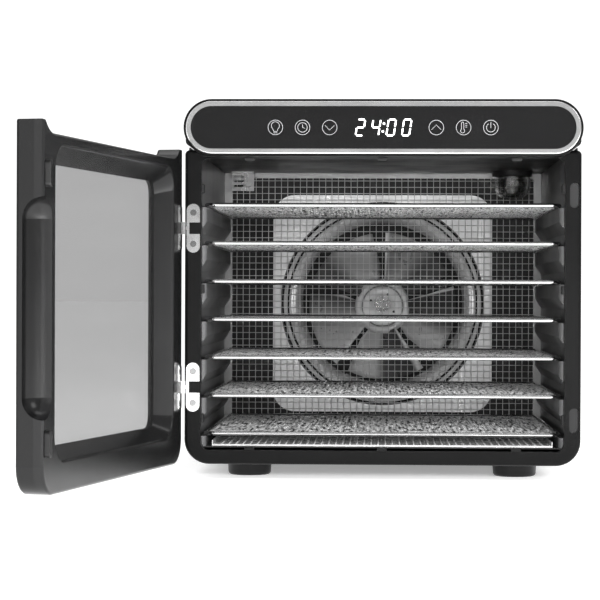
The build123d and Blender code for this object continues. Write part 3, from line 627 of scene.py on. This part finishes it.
def thermometer_icon(bm, cx, cz):
    """A thermometer with its bulb and three marks."""
    x = cx - 0.0008
    line(bm, arc(x, cz - 0.0028, 0.0017, 125, 415, 24), KEY_LINE)
    for side in (-1, 1):
        line(bm, [(x + side * 0.0010, cz - 0.0014), (x + side * 0.0010, cz + 0.0036)], KEY_LINE)
    line(bm, arc(x, cz + 0.0036, 0.0010, 0, 180, 10), KEY_LINE)
    for z in (0.0004, 0.0019, 0.0034):
        line(bm, [(cx + 0.0014, cz + z), (cx + 0.0030, cz + z)], KEY_LINE)


def power_icon(bm, cx, cz):
    """A broken ring with an upright line."""
    line(bm, arc(cx, cz, 0.0037, 120, 420, 30), KEY_LINE)
    line(bm, [(cx, cz - 0.0002), (cx, cz + 0.0047)], KEY_LINE)


def keys(mat, cz):
    """The six ringed touch keys, three on each side of the display."""
    bm = bmesh.new()
    near, middle, far = KEY_X
    for cx in (-far, -middle, -near, near, middle, far):
        circle(bm, cx, cz, KEY_R, KEY_LINE)
    lamp_icon(bm, -far, cz)
    clock_icon(bm, -middle, cz)
    chevron(bm, -near, cz, up=False)
    chevron(bm, near, cz, up=True)
    thermometer_icon(bm, middle, cz)
    power_icon(bm, far, cz)
    piece("touch_keys", bm, mat, "housing")


# ---- the object ------------------------------------------------------------------------------
def dress():
    """Materials of every CAD node, and the pieces that only the looks need."""
    body = moulded_plastic("body_plastic", 0.0012, 0.30, gloss=0.15)
    door = moulded_plastic("door_plastic", 0.002, 0.22, gloss=0.32)
    inner = moulded_plastic("door_inner_plastic", 0.004, 0.24, gloss=0.34)
    paint(body, "front_frame", "top_cover", "control_housing")
    paint(door, "door_frame")
    paint(inner, "door_inner_frame")
    rack = moulded_plastic("rack_plastic", 0.050, 0.32, height=0.000005)
    paint(rack, "left_tray_rack", "right_tray_rack")
    paint(moulded_plastic("clip_plastic", 0.002, 0.5), "frame_clips", "mains_inlet", "thermal_cutout")
    paint(moulded_plastic("ceramic_black", 0.006, 0.42), "lamp_socket")
    paint(moulded_plastic("foot_rubber", 0.003, 0.36, 500.0, 0.00006, 0.3), "feet")
    paint(coated_steel("casing_coat", 0.012, 0.38), "casing_wrap", "rear_panel")
    paint(coated_steel("liner_coat", 0.010, 0.40), "chamber_floor", "chamber_ceiling")
    paint(coated_steel("pan_coat", 0.012, 0.34), "chamber_back_wall", "fan_housing")
    upright = (1.0, 1.0, 0.03)
    paint(brushed_steel("plate_steel", 0.95, 0.26, 0.40, upright, 0.4), "fan_plate")
    paint(brushed_steel("bracket_steel", 0.55, 0.25, 0.38, upright), "sensor_bracket")
    paint(rim_painted_reflections("rim_steel"), "fan_rim")
    paint(brushed_steel("pan_steel", 0.50, 0.22, 0.34, (0.05, 1.0, 1.0), 0.7), "drip_tray")
    paint(polished_steel("border_steel", 0.45, 0.14, 0.24, 0.6), "fan_guard_frame")
    rod = polished_steel("rod_steel", 0.70, 0.10, 0.16, 1.0)
    paint(rod, *[f"tray_{n}_frame" for n in TRAYS])
    paint(polished_steel("hinge_steel", 0.68, 0.12, 0.18, 1.0), "body_hinge_leaves", "door_hinge_leaves")
    paint(polished_steel("pin_steel", 0.6, 0.2, 0.3), "hinge_pins", "case_screws", "motor_shaft", "fan_nut")
    screw = polished_steel("screw_steel", 0.26, 0.12, 0.2, 1.0)
    paint(screw, "body_hinge_screws", "door_hinge_screws")
    paint(polished_steel("strike_steel", 0.05, 0.36, 0.5, 1.0), "door_strikes")
    paint(moulded_plastic("magnet_black", 0.006, 0.4), "frame_magnets")
    # The blades carry painted reflections, and the hub carries painted shade in its groove.
    fan_wheel(blade_painted_reflections("blade_painted_reflections"), hub_painted_shade("hub_painted_shade"))
    # Near-black plugs as painted shade in the hub's four holes.
    hub_holes(moulded_plastic("hole_shade_dark", 0.01, 0.4))
    paint(polished_steel("motor_steel", 0.45, 0.32, 0.5), "fan_motor", "heating_element")
    paint(polished_steel("trim_silver", 0.88, 0.14, 0.17, 1.0), "control_trim_ring")
    paint(moulded_plastic("touch_gloss", 0.003, 0.12, 300.0, 0.000001, 0.34), "touch_panel")
    paint(moulded_plastic("board_green", 0.02, 0.45), "control_board", "power_board")
    paint(clear_plastic("door_pane", (0.02, 0.02, 0.02), 0.44, 0.22, 0.15), "door_glass")
    paint(lamp_glass("lamp_clear"), "lamp_glass")
    paint(clear_plastic("bulb_clear", (0.7, 0.7, 0.7), 0.25, 0.06, 1.0), "lamp_bulb")
    pan_ribs(brushed_steel("rib_steel", 0.42, 0.40, 0.5, (0.05, 1.0, 1.0), 0.5))
    tray_meshes(woven_steel("mesh_steel", 0.02, 0.74))
    guard_grid(polished_steel("guard_wire", 0.70, 0.30, 0.42, 0.5))
    low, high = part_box("touch_panel")
    middle = (low.z + high.z) / 2
    display(lit_ink("digit_light", (1.0, 1.0, 1.0), 1.6), middle)
    keys(lit_ink("key_print", (0.30, 0.30, 0.31), 0.16), middle)


# ---- studio ----------------------------------------------------------------------------------
def softbox(name, place, aim, size, power, mirrored=True):
    """A large soft light that looks at a point, and that gloss may or may not mirror."""
    data = bpy.data.lights.new(name, "AREA")
    data.shape = "RECTANGLE"
    data.size, data.size_y = size
    data.energy = power
    lamp = bpy.data.objects.new(name, data)
    lamp.location = place
    lamp.rotation_euler = (Vector(aim) - Vector(place)).to_track_quat("-Z", "Y").to_euler()
    lamp.visible_glossy = mirrored
    bpy.context.scene.collection.objects.link(lamp)


def world():
    """A white surround that shows dimmer in reflections, so that black gloss stays black."""
    made = bpy.data.worlds.new("studio")
    made.use_nodes = True
    tree = made.node_tree
    tree.nodes.clear()
    path = tree.nodes.new("ShaderNodeLightPath")
    strength = tree.nodes.new("ShaderNodeMapRange")
    strength.inputs["To Min"].default_value = 1.2
    strength.inputs["To Max"].default_value = 0.48
    background = tree.nodes.new("ShaderNodeBackground")
    background.inputs["Color"].default_value = (1.0, 1.0, 1.0, 1.0)
    output = tree.nodes.new("ShaderNodeOutputWorld")
    tree.links.new(path.outputs["Is Glossy Ray"], strength.inputs["Value"])
    tree.links.new(strength.outputs["Result"], background.inputs["Strength"])
    tree.links.new(background.outputs["Background"], output.inputs["Surface"])
    bpy.context.scene.world = made


def floor():
    """A plain pale studio floor."""
    bm = bmesh.new()
    bmesh.ops.create_grid(bm, x_segments=8, y_segments=8, size=60.0)
    data = bpy.data.meshes.new("studio_floor")
    bm.to_mesh(data)
    bm.free()
    glow = {"Emission_Color": (1.0, 1.0, 1.0, 1.0), "Emission_Strength": 0.28}
    mat = principled("floor_white", (0.93, 0.93, 0.93), 0.6, **glow)
    bump_by(mat, noise(mat, 300.0), 0.00002, 0.2)
    data.materials.append(mat)
    obj = bpy.data.objects.new("studio_floor", data)
    bpy.context.scene.collection.objects.link(obj)


def camera():
    """A long lens straight in front, turned a little to the left."""
    yaw, pitch, roll = (radians(turn) for turn in CAMERA_TURNS)
    ahead = Vector((-sin(yaw) * cos(pitch), cos(yaw) * cos(pitch), sin(pitch)))
    right = ahead.cross(Vector((0, 0, 1))).normalized()
    up = right.cross(ahead)
    right, up = right * cos(roll) + up * sin(roll), up * cos(roll) - right * sin(roll)
    facing = Matrix((right, up, -ahead)).transposed().to_4x4()
    data = bpy.data.cameras.new("camera")
    data.lens = CAMERA_LENS
    data.sensor_width = 36.0
    data.clip_end = 100.0
    obj = bpy.data.objects.new("camera", data)
    obj.matrix_world = Matrix.Translation(CAMERA_PLACE) @ facing
    bpy.context.scene.collection.objects.link(obj)
    bpy.context.scene.camera = obj


def lights():
    """Three soft lights that gloss mirrors, and two frontal ones that it doesn't."""
    softbox("left_front", (-1.7, -3.0, 0.5), (-0.25, -0.3, 0.15), (1.4, 1.8), 9.0)
    softbox("right_high", (2.1, -1.2, 1.6), (0, 0, 0.15), (1.2, 1.2), 16.0)
    softbox("top", (0.0, 0.2, 2.0), (0, 0.1, 0.2), (1.6, 1.6), 16.0)
    softbox("front", (0.0, -1.9, 0.2), (0, 0.3, 0.15), (0.6, 0.5), 62.0, mirrored=False)
    softbox("side_front", (0.62, -1.7, 0.42), (0, 0.3, 0.15), (0.3, 0.3), 60.0, mirrored=False)


dress()
world()
floor()
camera()
lights()
bpy.context.scene.view_settings.view_transform = "Standard"
